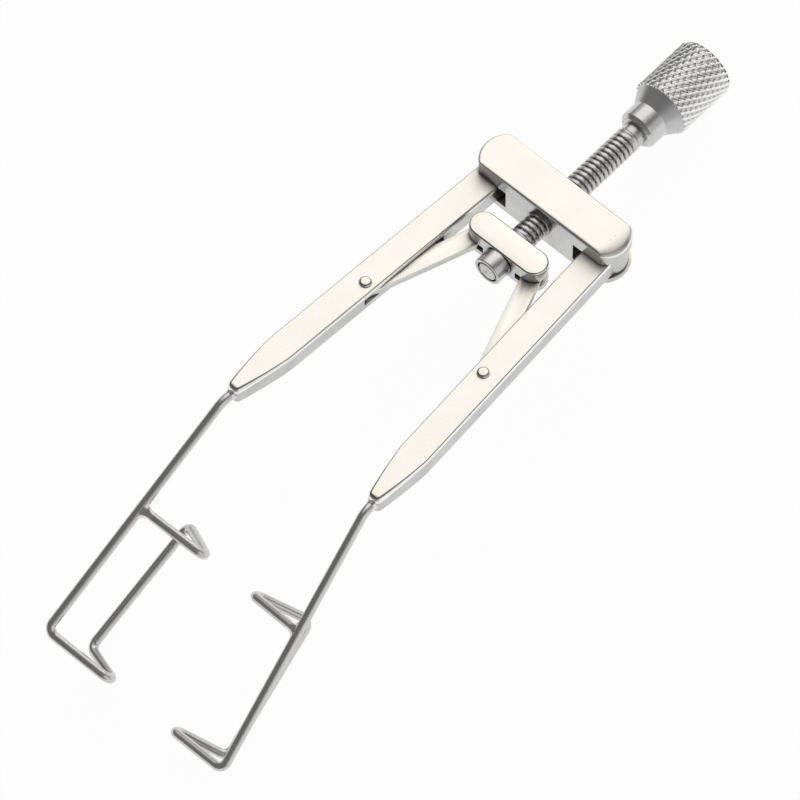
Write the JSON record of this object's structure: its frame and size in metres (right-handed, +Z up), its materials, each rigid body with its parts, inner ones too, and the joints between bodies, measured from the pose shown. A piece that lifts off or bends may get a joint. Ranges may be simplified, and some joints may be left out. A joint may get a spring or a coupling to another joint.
{
  "type": "wire eye speculum",
  "caption": "Adjustable eyelid speculum: two arms hinged in a yoke, spread by a knurled screw through a linked crosshead, with open wire blades.",
  "frame": {"origin": "middle of the footprint on the surface that the instrument rests on, at the knob's rim and the two blades", "axes": "+Y towards the knob, -Y towards the blades, +X towards the right arm, +Z up"},
  "size_m": [0.022, 0.0786, 0.0163],
  "materials": {
    "satin_steel": "bead-blasted satin stainless steel with polished edges",
    "turned_steel": "turned stainless steel, threaded and knurled",
    "polished_wire": "polished stainless steel wire",
    "silver_braze": "cleaned silver braze",
    "pin_steel": "stainless pin ground flush with the face, rivet head domed"
  },
  "bodies": {
    "yoke": {"yoke": "satin_steel", "left_arm_pin": "pin_steel", "right_arm_pin": "pin_steel"},
    "crosshead": {"crosshead": "satin_steel", "left_link_pin": "pin_steel", "right_link_pin": "pin_steel"},
    "screw": {"adjusting_screw": "turned_steel", "retaining_ring": "turned_steel", "knob": "turned_steel"},
    "left_arm": {"left_arm": "satin_steel", "left_link_rivet": "pin_steel", "left_blade_wire": "polished_wire", "left_joint_braze": "silver_braze", "left_socket_braze": "silver_braze"},
    "left_link": {"left_link": "satin_steel"},
    "right_arm": {"right_arm": "satin_steel", "right_link_rivet": "pin_steel", "right_blade_wire": "polished_wire", "right_joint_braze": "silver_braze", "right_socket_braze": "silver_braze"},
    "right_link": {"right_link": "satin_steel"}
  },
  "joints": [
    {"name": "right_arm_pivot", "type": "hinge", "parent": "yoke", "child": "right_arm", "pos_m": [0.0063, 0.0187, 0.00721], "axis": [0, 0.2416, 0.9704], "range_deg": [-3.28, 11.96]},
    {"name": "left_arm_pivot", "type": "hinge", "parent": "yoke", "child": "left_arm", "pos_m": [-0.0063, 0.0187, 0.00721], "axis": [0, -0.2416, -0.9704], "range_deg": [-3.29, 11.96]},
    {"name": "crosshead_travel", "type": "slide", "parent": "yoke", "child": "crosshead", "axis": [0, -0.9704, 0.2416], "range_m": [-0.00038, 0.00139]},
    {"name": "screw_turn", "type": "hinge", "parent": "crosshead", "child": "screw", "pos_m": [0, 0.01158, 0.00953], "axis": [0, -0.9704, 0.2416], "range_deg": [-250.12, 910.46]},
    {"name": "left_link_swing", "type": "hinge", "parent": "left_arm", "child": "left_link", "pos_m": [-0.00702, 0.00192, 0.01157], "axis": [0, -0.2416, -0.9704], "range_deg": [-2.04, 7.42]},
    {"name": "right_link_swing", "type": "hinge", "parent": "right_arm", "child": "right_link", "pos_m": [0.00702, 0.00192, 0.01157], "axis": [0, 0.2416, 0.9704], "range_deg": [-2.04, 7.42]}
  ],
  "couplings": [
    {"joint": "left_arm_pivot", "follows": "right_arm_pivot", "ratio": 1},
    {"joint": "crosshead_travel", "follows": "right_arm_pivot", "m_per_rad": 0.0066623},
    {"joint": "screw_turn", "follows": "right_arm_pivot", "ratio": 76.11},
    {"joint": "left_link_swing", "follows": "right_arm_pivot", "ratio": 0.62},
    {"joint": "right_link_swing", "follows": "right_arm_pivot", "ratio": 0.62}
  ]
}
